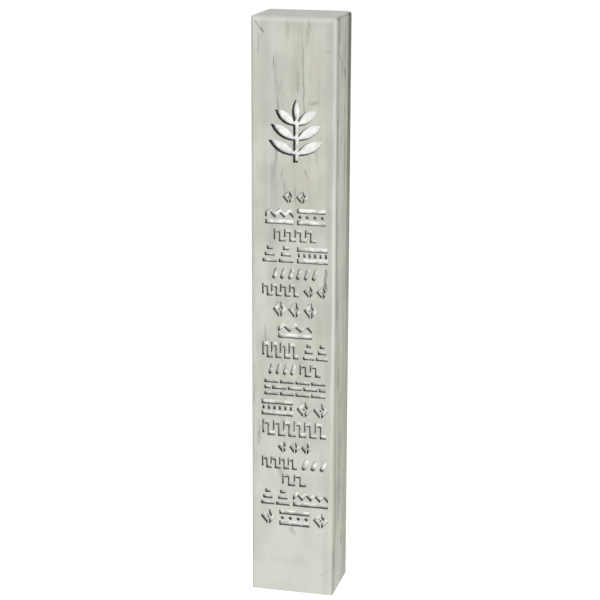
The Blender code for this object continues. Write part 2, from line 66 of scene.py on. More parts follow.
class Nodes:
    """Builds one material from small steps. Values can be numbers, colours or sockets."""

    def __init__(self, name):
        self.material = bpy.data.materials.new(name)
        self.material.use_nodes = True
        self.tree = self.material.node_tree
        self.shader = self.tree.nodes["Principled BSDF"]
        coordinates = self.tree.nodes.new("ShaderNodeTexCoord")
        self.place = coordinates.outputs["Object"]
        self.x, self.y, self.z = self.parts(self.place)
        self.up = self.parts(coordinates.outputs["Normal"])[2]

    def parts(self, vector):
        """The three numbers of a vector."""
        node = self.tree.nodes.new("ShaderNodeSeparateXYZ")
        self.tree.links.new(vector, node.inputs[0])
        return tuple(node.outputs)

    def put(self, socket, value):
        """Links a socket, or sets a plain value."""
        if isinstance(value, bpy.types.NodeSocket):
            self.tree.links.new(value, socket)
        elif isinstance(value, tuple) and socket.type == "RGBA":
            socket.default_value = (*value, 1.0)
        else:
            socket.default_value = value

    def set(self, **values):
        """Sets inputs of the Principled shader, with underscores for spaces."""
        for name, value in values.items():
            self.put(self.shader.inputs[name.replace("_", " ")], value)
        return self

    def math(self, operation, a, b=0.0, clamp=False):
        node = self.tree.nodes.new("ShaderNodeMath")
        node.operation = operation
        node.use_clamp = clamp
        self.put(node.inputs[0], a)
        self.put(node.inputs[1], b)
        return node.outputs[0]

    def times(self, a, *others):
        for other in others:
            a = self.math("MULTIPLY", a, other)
        return a

    def step(self, value, low, high, start=0.0, end=1.0):
        """Runs smoothly from start to end as the value goes from low to high."""
        node = self.tree.nodes.new("ShaderNodeMapRange")
        node.interpolation_type = "SMOOTHSTEP"
        for name, given in (("Value", value), ("From Min", low), ("From Max", high),
                            ("To Min", start), ("To Max", end)):
            self.put(node.inputs[name], given)
        return node.outputs["Result"]

    def stretched(self, scale, shift=(0.0, 0.0, 0.0), source=None):
        """Object coordinates scaled per axis, in features per metre."""
        node = self.tree.nodes.new("ShaderNodeMapping")
        self.put(node.inputs["Vector"], source or self.place)
        node.inputs["Scale"].default_value = scale
        node.inputs["Location"].default_value = shift
        return node.outputs[0]

    def noise(self, vector, detail=2.0, roughness=0.5, distortion=0.0, scale=1.0):
        node = self.tree.nodes.new("ShaderNodeTexNoise")
        self.put(node.inputs["Vector"], vector)
        node.inputs["Scale"].default_value = scale
        node.inputs["Detail"].default_value = detail
        node.inputs["Roughness"].default_value = roughness
        node.inputs["Distortion"].default_value = distortion
        return node.outputs["Fac"]

    def wobble(self, scale, shift, reach):
        """Noise about zero, as far as half the reach either way."""
        noise_value = self.noise(self.stretched(scale, shift=shift))
        return self.times(self.math("SUBTRACT", noise_value, 0.5), reach)

    def mix(self, factor, a, b):
        """Blend of two colours."""
        node = self.tree.nodes.new("ShaderNodeMix")
        node.data_type = "RGBA"
        self.put(node.inputs["Factor"], factor)
        sides = [socket for socket in node.inputs if socket.type == "RGBA"]
        self.put(sides[0], a)
        self.put(sides[1], b)
        return next(socket for socket in node.outputs if socket.type == "RGBA")

    def shaded(self, colour, factor):
        """A colour multiplied by another."""
        node = self.tree.nodes.new("ShaderNodeVectorMath")
        node.operation = "MULTIPLY"
        self.put(node.inputs[0], colour)
        node.inputs[1].default_value = factor
        return node.outputs[0]

    def blend(self, factor, a, b):
        """Blend of two numbers."""
        node = self.tree.nodes.new("ShaderNodeMix")
        node.data_type = "FLOAT"
        self.put(node.inputs["Factor"], factor)
        self.put(node.inputs["A"], a)
        self.put(node.inputs["B"], b)
        return node.outputs["Result"]

    def crevice(self, distance):
        """1 in the open and towards 0 beside walls nearer than the distance."""
        node = self.tree.nodes.new("ShaderNodeAmbientOcclusion")
        node.samples = 12
        node.only_local = True
        node.inputs["Distance"].default_value = distance
        return node.outputs["AO"]

    def soft_normal(self, radius):
        """Normals that round every edge by the radius."""
        node = self.tree.nodes.new("ShaderNodeBevel")
        node.samples = 6
        node.inputs["Radius"].default_value = radius
        return node.outputs["Normal"]

    def bump(self, height, distance, strength=1.0, normal=None):
        node = self.tree.nodes.new("ShaderNodeBump")
        node.inputs["Distance"].default_value = distance
        self.put(node.inputs["Strength"], strength)
        self.put(node.inputs["Height"], height)
        if normal is not None:
            self.put(node.inputs["Normal"], normal)
        return node.outputs["Normal"]


# Materials

SILVER = (0.60, 0.60, 0.585)
SILVER_PAINT = (0.93, 0.93, 0.90)
DULL_PAINT = (0.60, 0.60, 0.56)
# Dark engraving walls, and painted shade on the floors beside them
DARK_RECESS_AND_SHADE = (0.035, 0.035, 0.026)
COOL_RESIN = (0.574, 0.577, 0.514)
WARM_RESIN = (0.560, 0.553, 0.466)
# Pale resin clouds, also used as painted light that makes the foot paler
PALE_RESIN_AND_FOOT_LIGHT = (0.66, 0.658, 0.60)
# Painted light: a paler colour for the top face, as if lit from above
LIT_TOP_RESIN = (0.79, 0.79, 0.76)
COOL_SMOKE = (0.42, 0.435, 0.39)
# Painted highlight along the front edges
EDGE_HIGHLIGHT = (0.82, 0.81, 0.735)
# Dark streak colour, also used for painted shade beside the ridge and on the left edge
STREAK_AND_SHADE = (0.37, 0.375, 0.31)
VEIN = (0.17, 0.17, 0.12)
# Dark bands on the side faces, and painted shade along their rear edge
OLIVE_BANDS_AND_SHADE = (0.080, 0.083, 0.040)
TEAL_SHADE = (0.20, 0.24, 0.20)
SHADOWED_SIDE = (0.89, 0.90, 0.825)
# Painted shade on the inlay beside its pocket walls
SHADED_SILVER = (0.42, 0.42, 0.40)
SILICONE = (0.43, 0.44, 0.42)
HAZY_SILICONE = (0.53, 0.54, 0.51)
DUST = (0.68, 0.68, 0.65)
CREAM = (0.70, 0.57, 0.36)
TAN = (0.52, 0.38, 0.20)
FIBRE = (0.40, 0.27, 0.13)
PORE = (0.34, 0.22, 0.10)
CUT_EDGE = (0.36, 0.23, 0.10)
FILM_TINT = (0.86, 0.90, 0.93)
FOAM_PIT = (0.70, 0.70, 0.68)
FOAM_WALL = (0.84, 0.84, 0.82)
ADHESIVE = (0.74, 0.73, 0.66)
PALE_ADHESIVE = (0.82, 0.81, 0.75)
PALE_LINER = (0.80, 0.65, 0.36)
DEEP_LINER = (0.64, 0.47, 0.20)
LINER_FIBRE = (0.86, 0.76, 0.52)

# Darker marks in the cast: distance in from the left or front edge and down from the top, half width,
# half length, sideways lean per length, and strength. Lengths are in millimetres.
FRONT_MARKS = (
    (2.5, 2.9, 0.34, 1.5, 0.85, 0.85),
    (1.9, 7.0, 0.35, 3.4, 0.02, 0.35),
    (5.8, 11.3, 0.16, 1.7, 0.0, 0.75),
    (13.3, 14.5, 0.28, 9.5, 0.03, 0.55),
    (12.0, 15.5, 0.35, 3.5, 0.0, 0.35),
    (7.0, 22.5, 0.22, 3.2, 0.03, 0.6),
    (6.6, 33.5, 0.3, 2.4, 0.06, 0.5),
    (16.7, 34.5, 0.35, 2.2, 0.0, 0.35),
    (8.6, 42.5, 0.3, 2.4, 0.05, 0.4),
    (11.4, 44.0, 0.25, 2.6, 0.02, 0.4),
    (19.1, 67.0, 0.42, 3.8, -0.06, 1.0),
    (3.7, 80.5, 0.35, 2.4, 0.0, 0.5),
    (0.8, 97.0, 0.6, 3.2, 0.0, 0.3),
    (2.0, 106.5, 0.3, 3.4, 0.0, 0.5),
    (7.7, 116.5, 0.9, 1.6, 0.25, 0.35),
    (11.2, 133.0, 0.6, 1.2, 0.5, 0.35),
    (19.0, 144.2, 0.5, 0.3, 0.0, 0.3),
    (14.4, 4.2, 0.6, 3.2, -0.05, 0.4),
    (15.8, 21.1, 1.7, 0.55, 0.0, 0.4),
    (19.4, 8.2, 1.0, 0.25, 0.0, 0.3),
    (16.1, 33.2, 0.5, 0.6, 0.0, 0.35),
    (14.1, 38.7, 0.4, 1.1, 0.3, 0.45),
    (8.0, 38.7, 0.28, 1.3, -0.3, 0.45),
    (7.5, 141.2, 6.5, 0.9, 0.0, 0.07),
)
SIDE_MARKS = (
    (2.6, 4.5, 0.7, 1.2, 0.1, 0.9),
    (3.4, 6.6, 0.6, 0.9, 0.0, 0.8),
    (3.8, 10.0, 0.7, 1.4, 0.6, 0.9),
    (6.0, 12.0, 0.7, 1.1, 0.9, 0.9),
    (8.8, 14.4, 0.8, 1.5, 0.6, 1.0),
    (4.8, 13.4, 0.6, 1.2, 0.5, 0.8),
    (2.2, 26.0, 0.7, 1.3, 0.0, 0.9),
    (9.0, 24.0, 0.7, 1.3, 0.2, 0.6),
    (2.4, 38.0, 0.6, 2.6, 0.0, 0.8),
    (9.5, 33.0, 0.6, 2.0, 0.0, 0.55),
    (2.8, 72.5, 0.8, 4.0, 0.03, 1.0),
    (4.2, 92.0, 0.9, 2.8, -0.1, 1.0),
    (7.0, 122.0, 0.9, 8.0, 0.0, 0.5),
    (9.4, 137.5, 0.9, 2.3, 0.1, 1.0),
    (1.8, 141.0, 0.8, 3.6, 0.0, 0.6),
)
TEAL_MARKS = (
    (6.4, 108.0, 1.7, 12.0, 0.02, 0.65),
    (6.0, 121.0, 2.1, 11.0, -0.08, 0.8),
    (10.5, 127.0, 2.4, 8.0, 0.1, 0.45),
    (12.5, 142.0, 2.6, 5.0, 0.0, 0.4),
)


def bent_grain(n):
    """Object coordinates that drift from side to side, so upright streaks bend a little."""
    wander = n.noise(n.stretched((24, 24, 26)), detail=1.5)
    drift = n.math("SUBTRACT", wander, 0.5)
    offset = n.tree.nodes.new("ShaderNodeCombineXYZ")
    n.put(offset.inputs["X"], n.times(drift, 6.0 * MM))
    n.put(offset.inputs["Y"], n.times(drift, 3.5 * MM))
    bent = n.tree.nodes.new("ShaderNodeVectorMath")
    n.put(bent.inputs[0], n.place)
    n.put(bent.inputs[1], offset.outputs[0])
    return bent.outputs[0]


def marbled(n, height):
    """Colour of the plain resin: warm and cool clouds, soft upright streaks and a few dark veins, with
    painted light: paler towards the foot and paler on the top face.
    """
    grain = bent_grain(n)
    clouds = n.noise(n.stretched((150, 150, 30), source=grain), detail=3.0)
    bands = n.noise(n.stretched((230, 230, 13), shift=(3, 1, 8), source=grain), detail=2.0)
    streaks = n.noise(n.stretched((620, 620, 26), source=grain), detail=2.0, roughness=0.5)
    lines = n.noise(n.stretched((230, 230, 15), shift=(7, 3, 1), source=grain), detail=1.0)
    line = n.step(n.math("ABSOLUTE", n.math("SUBTRACT", lines, 0.5)), 0.0, 0.024, 1.0, 0.0)
    line_where = n.step(n.noise(n.stretched((190, 190, 45), shift=(2, 9, 4)), detail=1.0), 0.52, 0.64)
    upper = n.step(height, 0.10, 0.48, 0.04, 1.0)

    smoke = n.noise(n.stretched((150, 150, 95), shift=(5, 5, 5)), detail=4.0, roughness=0.5)
    # Painted light: the resin is mixed towards a paler colour lower down, as light thrown up from below.
    foot_light = n.step(height, 0.10, 0.50, 0.8, 0.0)
    colour = n.mix(n.step(clouds, 0.34, 0.64), COOL_RESIN, WARM_RESIN)
    colour = n.mix(n.math("MAXIMUM", n.step(smoke, 0.45, 0.7, 0.0, 0.5), foot_light), colour, PALE_RESIN_AND_FOOT_LIGHT)
    colour = n.mix(n.step(smoke, 0.34, 0.60, 0.34, 0.0), colour, COOL_SMOKE)
    colour = n.mix(n.times(n.step(bands, 0.45, 0.72), upper, 0.30), colour, STREAK_AND_SHADE)
    colour = n.mix(n.times(n.step(streaks, 0.50, 0.76), upper, 0.27), colour, STREAK_AND_SHADE)
    colour = n.mix(n.times(line, line_where, upper, 0.26), colour, VEIN)
    # Painted light: faces turned upwards are mixed towards a paler colour, as if lit from above.
    return n.mix(n.times(n.step(n.up, 0.6, 0.9), 0.85), colour, LIT_TOP_RESIN), streaks


def marks(n, inward, rows, core=0.0):
    """Strength of the darker marks on one face, from its inward coordinate and the depth below the top.

    core is the share of a mark's reach, squared, that is fully dark.
    """
    down = n.math("SUBTRACT", CASE_HIGH.z, n.z)
    ragged = n.noise(n.stretched((700, 700, 260)), detail=3.0)
    warp_across = n.wobble((800, 800, 330), (4, 1, 2), 3.2)
    warp_along = n.wobble((900, 900, 420), (1, 7, 5), 2.6)
    total = 0.0
    for inset, drop, half_width, half_length, lean, strength in rows:
        along = n.math("SUBTRACT", down, drop * MM)
        across = n.math("SUBTRACT", n.math("SUBTRACT", inward, inset * MM), n.times(along, lean))
        wide = n.math("ADD", n.math("DIVIDE", across, half_width * MM), warp_across)
        tall = n.math("ADD", n.math("DIVIDE", along, half_length * MM), warp_along)
        reach = n.math("ADD", n.times(wide, wide), n.times(tall, tall))
        total = n.math("MAXIMUM", total, n.step(reach, core, 1.7, strength, 0.0))
    return n.times(total, n.step(ragged, 0.30, 0.60, 0.45, 1.0))


def between(n, value, low, high, fade):
    """1 while the value is between low and high, and fading out beyond them."""
    rising = n.step(value, low - fade, low)
    falling = n.step(value, high, high + fade, 1.0, 0.0)
    return n.times(rising, falling)


def patches(n):
    """Strength of darkening that comes and goes along the case."""
    return n.step(n.noise(n.stretched((90, 240, 34), shift=(1, 6, 2)), detail=2.0), 0.30, 0.66, 0.3, 1.0)


def side_bands_and_shade(n, depth, height):
    """Strength of the darkening on a side face: dark bands beside the front edge and past the middle, and
    painted shade along the rear edge, strongest near the top.
    """
    patchy = patches(n)
    depth = n.math("ADD", depth, n.wobble((60, 60, 48), (9, 9, 1), 3.4 * MM))
    front = n.times(between(n, depth, 1.0 * MM, 2.4 * MM, 0.8 * MM), patchy, 0.40)
    middle = n.times(between(n, depth, 9.4 * MM, 11.2 * MM, 1.6 * MM), patchy, 0.28)
    to_back = n.math("SUBTRACT", CASE_HIGH.y, n.y)
    # Painted shade: a dark strip along the rear edge, strongest near the top.
    rear_strength = n.step(height, 0.25, 1.0, 0.30, 0.94)
    rear = n.times(n.step(to_back, 3.3 * MM, 4.7 * MM, 1.0, 0.0), rear_strength)
    return n.math("MAXIMUM", n.math("MAXIMUM", front, middle), rear)


def edge_light_and_marks(n, colour, depth, from_side, height):
    """Colour with painted highlights on the front edges, painted shade on the side faces and the left edge,
    dark side bands and the casting's marks, and the strength of the side darkening.
    """
    on_front = n.step(depth, 0.25 * MM, 0.85 * MM, 1.0, 0.0)
    from_top = n.math("SUBTRACT", CASE_HIGH.z, n.z)
    wander = n.wobble((40, 40, 75), (0.0, 0.0, 0.0), 0.7 * MM)
    from_ridge = n.math("ADD", n.math("SUBTRACT", CASE_HIGH.x, n.x), wander)
    side_edge = n.step(from_ridge, 0.4 * MM, 1.1 * MM, 1.0, 0.0)
    top_edge = n.step(from_top, 0.3 * MM, 1.9 * MM, 0.6, 0.0)
    side_edge = n.times(side_edge, n.step(height, 0.02, 0.5, 0.3, 1.0), n.step(height, 0.66, 0.88, 1.0, 0.72))
    # Painted highlight: a paler band along the front-right ridge and the top front edge, weaker low down.
    edge_highlights = n.times(on_front, n.math("MAXIMUM", side_edge, top_edge), 0.85)

    on_side = n.times(n.step(from_side, 0.25 * MM, 0.8 * MM, 1.0, 0.0), n.step(n.up, 0.5, 0.8, 1.0, 0.0))
    colour = n.mix(on_side, colour, n.shaded(colour, SHADOWED_SIDE))
    lower = n.times(between(n, height, 0.14, 0.34, 0.12), on_side, 0.75)
    colour = n.mix(lower, colour, n.shaded(colour, SHADOWED_SIDE))
    colour = n.mix(n.times(marks(n, depth, TEAL_MARKS), on_side), colour, TEAL_SHADE)
    side_darkening = n.times(side_bands_and_shade(n, depth, height), on_side)
    # Dark bands and painted shade on the side faces.
    colour = n.mix(side_darkening, colour, OLIVE_BANDS_AND_SHADE)
    from_left = n.math("SUBTRACT", n.x, CASE_LOW.x)
    # Painted shade: a darker line on the front beside the right-hand ridge.
    ridge_shade = n.times(between(n, from_ridge, 1.6 * MM, 2.3 * MM, 0.8 * MM), patches(n), 0.26)
    rubbed = n.step(n.noise(n.stretched((230, 230, 150), shift=(8, 2, 3)), detail=3.0), 0.50, 0.72)
    residue = n.times(between(n, height, 0.19, 0.70, 0.05), rubbed, 0.30)
    colour = n.mix(n.times(n.math("MAXIMUM", ridge_shade, residue), on_front), colour, STREAK_AND_SHADE)
    # Painted shade: the left front edge is darker, more so higher up.
    left_edge_shade = n.times(n.step(from_left, 0.1 * MM, 1.0 * MM, 1.0, 0.0), n.step(height, 0.2, 0.9, 0.25, 0.62))
    front_dark = n.times(marks(n, from_left, FRONT_MARKS), on_front)
    side_dark = n.times(marks(n, depth, SIDE_MARKS, 0.1), on_side, 0.85)
    colour = n.mix(n.math("MAXIMUM", front_dark, side_dark), colour, VEIN)
    colour = n.mix(edge_highlights, colour, EDGE_HIGHLIGHT)
    return n.mix(left_edge_shade, colour, STREAK_AND_SHADE), side_darkening


def cast_resin():
    """Marbled, white-washed resin with upright streaks, and silvered engraving with dark walls, painted shade
    on the floors beside them and a painted reflection on the silver.
    """
    n = Nodes("cast_resin")
    depth = n.math("SUBTRACT", n.y, CASE_LOW.y)
    across = n.math("ABSOLUTE", n.x)
    from_side = n.math("SUBTRACT", HALF_WIDTH, across)
    height = n.math("DIVIDE", n.math("SUBTRACT", n.z, CASE_LOW.z), CASE_SIZE.z)
    resin, streaks = marbled(n, height)
    resin, side_darkening = edge_light_and_marks(n, resin, depth, from_side, height)

    # Silver floors and dark walls inside the engraving, with painted shade on the floors beside the walls
    sunk = n.times(
        n.math("GREATER_THAN", depth, FRONT_SKIN),
        n.math("LESS_THAN", depth, DEEPEST_ENGRAVING),
        n.math("GREATER_THAN", from_side, PLAIN_BORDER),
        n.math("GREATER_THAN", n.z, CASE_LOW.z + PLAIN_FOOT),
        n.math("LESS_THAN", n.z, EMBLEM_TOP + ENGRAVED_MARGIN),
    )
    geometry = n.tree.nodes.new("ShaderNodeNewGeometry")
    floor = n.math("LESS_THAN", n.parts(geometry.outputs["True Normal"])[1], -0.9)
    # Painted shade: floors near a wall take the dark colour instead of silver.
    open_floor = n.step(n.crevice(0.5 * MM), 0.22, 0.55)
    silvered = n.times(sunk, floor, open_floor)
    colour = n.mix(sunk, resin, DARK_RECESS_AND_SHADE)
    worn_paint = n.step(n.noise(n.stretched((620, 620, 900), shift=(6, 2, 5)), detail=3.0), 0.38, 0.62)
    paint_and_reflection = n.mix(worn_paint, DULL_PAINT, SILVER_PAINT)
    colour = n.mix(silvered, colour, paint_and_reflection)

    normal = n.soft_normal(0.12 * MM)
    normal = n.bump(n.noise(n.stretched((1500, 1500, 260)), detail=3.0), 0.05 * MM, 0.25, normal)
    n.set(
        Base_Color=colour,
        Metallic=n.times(silvered, 0.35),
        Roughness=n.blend(silvered, n.step(streaks, 0.3, 0.7, 0.38, 0.52), 0.3),
        Specular_IOR_Level=n.step(side_darkening, 0.1, 0.8, 0.5, 0.1),
        # Painted reflection: the silver floors glow a little, more so lower down, for the bright room seen in
        # the paint.
        Emission_Color=paint_and_reflection,
        Emission_Strength=n.times(silvered, n.step(height, 0.15, 0.7, 0.2, 0.13)),
        Normal=normal,
    )
    return n.material


def silver_inlay():
    """Soft satin silver with faint casting ripples, with painted shade where it meets its pocket."""
    n = Nodes("silver_inlay")
    ripples = n.noise(n.stretched((900, 900, 900)), detail=3.0)
    # Painted shade: darker where the pocket walls are close.
    pocket_shade = n.step(n.crevice(0.3 * MM), 0.2, 0.6)
    n.set(
        Base_Color=n.mix(pocket_shade, SHADED_SILVER, SILVER),
        Metallic=0.85,
        Roughness=n.step(ripples, 0.3, 0.7, 0.24, 0.38),
        Normal=n.bump(ripples, 0.06 * MM, 0.35, n.soft_normal(0.1 * MM)),
    )
    return n.material


def silicone():
    """Milky satin silicone with faint haze and a little pale dust."""
    n = Nodes("silicone")
    haze = n.step(n.noise(n.stretched((260, 260, 200)), detail=3.0), 0.35, 0.65)
    dust = n.step(n.noise(n.stretched((1900, 1900, 1900), shift=(3, 3, 3)), detail=2.0), 0.64, 0.72, 0.0, 0.5)
    grain = n.noise(n.stretched((2600, 2600, 2600)), detail=2.0)
    n.set(
        Base_Color=n.mix(dust, n.mix(haze, SILICONE, HAZY_SILICONE), DUST),
        Roughness=n.step(grain, 0.3, 0.7, 0.42, 0.55),
        Subsurface_Weight=0.3,
        Subsurface_Radius=(1.0, 0.97, 0.9),
        Subsurface_Scale=0.8 * MM,
        Normal=n.bump(grain, 0.04 * MM, 0.4, n.soft_normal(0.08 * MM)),
    )
    return n.material


def parchment():
    """Scraped parchment: cream, mottled and veined, with fine follicle dots and browner cut edges."""
    n = Nodes("parchment")
    low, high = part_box("parchment_scroll")
    fibres = n.noise(n.stretched((1300, 1300, 420)), detail=4.0, roughness=0.65)
    mottle = n.noise(n.stretched((190, 190, 110)), detail=4.0, roughness=0.6)
    veins = n.noise(n.stretched((120, 120, 70), shift=(4, 2, 7)), detail=3.0, distortion=0.6)
    vein = n.step(n.math("ABSOLUTE", n.math("SUBTRACT", veins, 0.5)), 0.0, 0.02, 0.35, 0.0)
    pores = n.step(n.noise(n.stretched((2600, 2600, 2600)), detail=1.0), 0.62, 0.72, 0.0, 0.4)
    cream = n.mix(n.step(mottle, 0.32, 0.66), CREAM, TAN)
    cream = n.mix(n.step(fibres, 0.48, 0.75, 0.0, 0.4), cream, FIBRE)
    cream = n.mix(n.math("MAXIMUM", vein, pores), cream, PORE)
    from_end = n.math("MINIMUM", n.math("SUBTRACT", n.z, low.z), n.math("SUBTRACT", high.z, n.z))
    cream = n.mix(n.step(from_end, 0.0, 1.6 * MM, 0.5, 0.0), cream, CUT_EDGE)
    n.set(
        Base_Color=cream,
        Roughness=n.step(fibres, 0.3, 0.7, 0.55, 0.75),
        Normal=n.bump(fibres, 0.08 * MM, 0.6),
    )
    return n.material


def clear_film():
    """Thin clear film: almost invisible face on, with a painted sheen at grazing angles, and faint stretch
    lines.
    """
    n = Nodes("clear_film")
    lines = n.noise(n.stretched((700, 700, 25)), detail=2.0)
    grazing = n.tree.nodes.new("ShaderNodeLayerWeight")
    grazing.inputs["Blend"].default_value = 0.35
    # Painted sheen: the film turns more opaque at grazing angles.
    grazing_sheen = n.step(grazing.outputs["Facing"], 0.1, 0.95, 0.05, 0.55)
    n.set(
        Base_Color=FILM_TINT,
        Roughness=n.step(lines, 0.3, 0.7, 0.06, 0.2),
        Alpha=n.math("ADD", grazing_sheen, n.step(lines, 0.5, 0.7, 0.0, 0.14)),
        Normal=n.bump(lines, 0.1 * MM, 0.6),
    )
    return n.material


def adhesive_foam():
    """White closed-cell foam."""
    n = Nodes("adhesive_foam")
    cells = n.tree.nodes.new("ShaderNodeTexVoronoi")
    n.put(cells.inputs["Vector"], n.place)
    cells.inputs["Scale"].default_value = 4500
    size = cells.outputs["Distance"]
    n.set(
        Base_Color=n.mix(n.step(size, 0.1, 0.6), FOAM_PIT, FOAM_WALL),
        Roughness=0.85,
        Normal=n.bump(size, 0.06 * MM, 0.6),
    )
    return n.material


def adhesive_skin():
    """Clear tacky adhesive over the foam, with a faint yellow tone and a slightly uneven gloss."""
    n = Nodes("adhesive_skin")
    tack = n.noise(n.stretched((420, 420, 420), shift=(2, 4, 6)), detail=3.0)
    n.set(
        Base_Color=n.mix(n.step(tack, 0.35, 0.65), ADHESIVE, PALE_ADHESIVE),
        Roughness=n.step(tack, 0.3, 0.7, 0.16, 0.34),
        Coat_Weight=0.35,
        Coat_Roughness=0.12,
        Normal=n.bump(tack, 0.05 * MM, 0.5),
    )
    return n.material


def release_liner():
    """Waxed yellow glassine: cloudy and fibrous, with a silky sheen."""
    n = Nodes("release_liner")
    clouds = n.noise(n.stretched((420, 420, 420)), detail=5.0, roughness=0.65)
    fibres = n.noise(n.stretched((2400, 2400, 700)), detail=3.0)
    paper = n.mix(n.step(clouds, 0.32, 0.68), PALE_LINER, DEEP_LINER)
    n.set(
        Base_Color=n.mix(n.step(fibres, 0.5, 0.72, 0.0, 0.35), paper, LINER_FIBRE),
        Roughness=n.step(clouds, 0.3, 0.7, 0.20, 0.38),
        Coat_Weight=0.35,
        Coat_Roughness=0.14,
        Normal=n.bump(n.math("ADD", clouds, fibres), 0.05 * MM, 0.5),
    )
    return n.material


def dress(material, *names):
    """Puts a material on CAD nodes."""
    for name in names:
        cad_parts[name].data.materials.clear()
        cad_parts[name].data.materials.append(material)


def level_flats(name):
    """Keeps a node's flat faces flat in shading, right up to its rounded edges."""
    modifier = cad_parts[name].modifiers.new("level_flats", "WEIGHTED_NORMAL")
    modifier.mode = "FACE_AREA"
    modifier.weight = 50
    modifier.keep_sharp = True


# Soft pieces

# The measures of a rolled sheet: its inner radius, the distance between turns, the number of turns, its
# thickness, how far its ends telescope, the depth of its wrinkles, and a number that picks their pattern
Roll = namedtuple("Roll", "inner pitch turns thickness end_drift wrinkle seed")

PARCHMENT_ROLL = Roll(1.62 * MM, 0.448 * MM, 5.95, 0.2 * MM, 0.7 * MM, 0.03 * MM, 1)
FILM_ROLL = Roll(4.76 * MM, 0.26 * MM, 1.15, 0.05 * MM, 0.35 * MM, 0.07 * MM, 2)
COLUMNS_PER_TURN = 60
PARCHMENT_ROWS = 36
FILM_ROWS = 60
FILM_END_INSET = 0.3 * MM

LINER_THICKNESS = 0.09 * MM
LINER_CORNER = 1.6 * MM
TAB_CURL = 0.75 * MM
TAB_WAVE = 0.12 * MM
CORNER_LIFT = 0.16 * MM
LINER_RIPPLE = 0.02 * MM

TAPE_CORNER = 1.0 * MM
TAPE_SIDE_RIPPLE = 0.05 * MM
TAPE_FACE_DIMPLE = 0.012 * MM

# The tape's side: how far each ring is drawn inwards, in millimetres, and its share of the thickness
TAPE_PROFILE = (
    (0.25, 0.0), (0.05, 0.01), (0.0, 0.05), (0.02, 0.09), (0.16, 0.12), (0.22, 0.3), (0.24, 0.5),
    (0.22, 0.7), (0.16, 0.88), (0.02, 0.91), (0.0, 0.95), (0.05, 0.99), (0.25, 1.0),
)
# Rings on the tape's two faces, drawn inwards in millimetres
TAPE_FACE_RINGS = (5.9, 4.8, 3.6, 2.4, 1.2)
FOAM_RINGS = range(8, 14)


def ripple(a, b, seed):
    """Smooth noise between about -1 and 1 that is the same on every run."""
    return noise.noise(Vector((a, b, seed * 7.31)))


def closed_sheet(front, back):
    """Points and faces of a thin closed sheet between two grids of points of equal size."""
    rows, columns = len(front), len(front[0])
    points = [point for grid in (front, back) for row in grid for point in row]
    behind = rows * columns
    faces = []
    for i in range(rows - 1):
        for j in range(columns - 1):
            a, b = i * columns + j, (i + 1) * columns + j
            faces.append((a, a + 1, b + 1, b))
            faces.append((a + behind, b + behind, b + 1 + behind, a + 1 + behind))
    border = list(range(columns))
    border += [i * columns + columns - 1 for i in range(1, rows)]
    border += [(rows - 1) * columns + j for j in range(columns - 2, -1, -1)]
    border += [i * columns for i in range(rows - 2, 0, -1)]
    for a, b in zip(border, border[1:] + border[:1]):
        faces.append((b, a, a + behind, b + behind))
    return points, faces


def add_soft_piece(name, shape, materials, body, node):
    """A smooth mesh that rides on a body and stands for a CAD node."""
    points, faces = shape
    mesh = bpy.data.meshes.new(name)
    mesh.from_pydata(points, [], faces)
    bm = bmesh.new()
    bm.from_mesh(mesh)
    bmesh.ops.recalc_face_normals(bm, faces=bm.faces)
    bm.to_mesh(mesh)
    bm.free()
    mesh.shade_smooth()
    mesh.set_sharp_from_angle(angle=math.radians(40))
    for material in materials:
        mesh.materials.append(material)
    piece = bpy.data.objects.new(name, mesh)
    bpy.context.scene.collection.objects.link(piece)
    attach(piece, body)
    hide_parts(node)
    return piece


def rounded_levels(low, high, corner, count):
    """Heights from low to high, closer together in the corners, each with the inset of the outline there."""
    levels = []
    for i in range(9):
        angle = math.pi / 2 * i / 8
        levels.append((low + corner * (1 - math.cos(angle)), corner * (1 - math.sin(angle))))
    straight = high - low - 2 * corner
    levels += [(low + corner + straight * i / count, 0.0) for i in range(1, count)]
    levels += [(low + high - z, inset) for z, inset in reversed(levels[:9])]
    return levels


def flat_grid(low, high, corner, rows, columns):
    """Rows of (x, z, u, v) over a rounded rectangle, where u and v run from -1 to 1."""
    half = (high.x - low.x) / 2
    middle = (high.x + low.x) / 2
    grid = []
    for z, inset in rounded_levels(low.z, high.z, corner, rows):
        v = 2 * (z - low.z) / (high.z - low.z) - 1
        shares = [math.sin(math.pi / 2 * (2 * j / columns - 1)) for j in range(columns + 1)]
        grid.append([(middle + u * (half - inset), z, u, v) for u in shares])
    return grid


def make_liner(side, body, material, seed):
    """Release film: almost flat on its pad, with lifted corners and a pull tab that curls outwards."""
    node = f"{side}_release_liner"
    low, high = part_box(node)
    pad_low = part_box(f"{side}_foam_pad")[0]
    front, back = [], []
    for row in flat_grid(low, high, LINER_CORNER, rows=40, columns=22):
        front.append([])
        back.append([])
        for x, z, u, v in row:
            tab = max(0.0, (pad_low.z - z) / (pad_low.z - low.z))
            corner = max(0.0, abs(u) - 0.7) / 0.3 * max(0.0, abs(v) - 0.85) / 0.15
            lift = TAB_CURL * tab ** 2 + CORNER_LIFT * corner + tab * TAB_WAVE * ripple(u * 1.2, v, seed)
            lift += LINER_RIPPLE * (1 + ripple(x / (3 * MM), z / (5 * MM), seed))
            front[-1].append((x, low.y + lift, z))
            back[-1].append((x, low.y + lift + LINER_THICKNESS, z))
    add_soft_piece(f"{side}_liner_film", closed_sheet(front, back), [material], body, node)


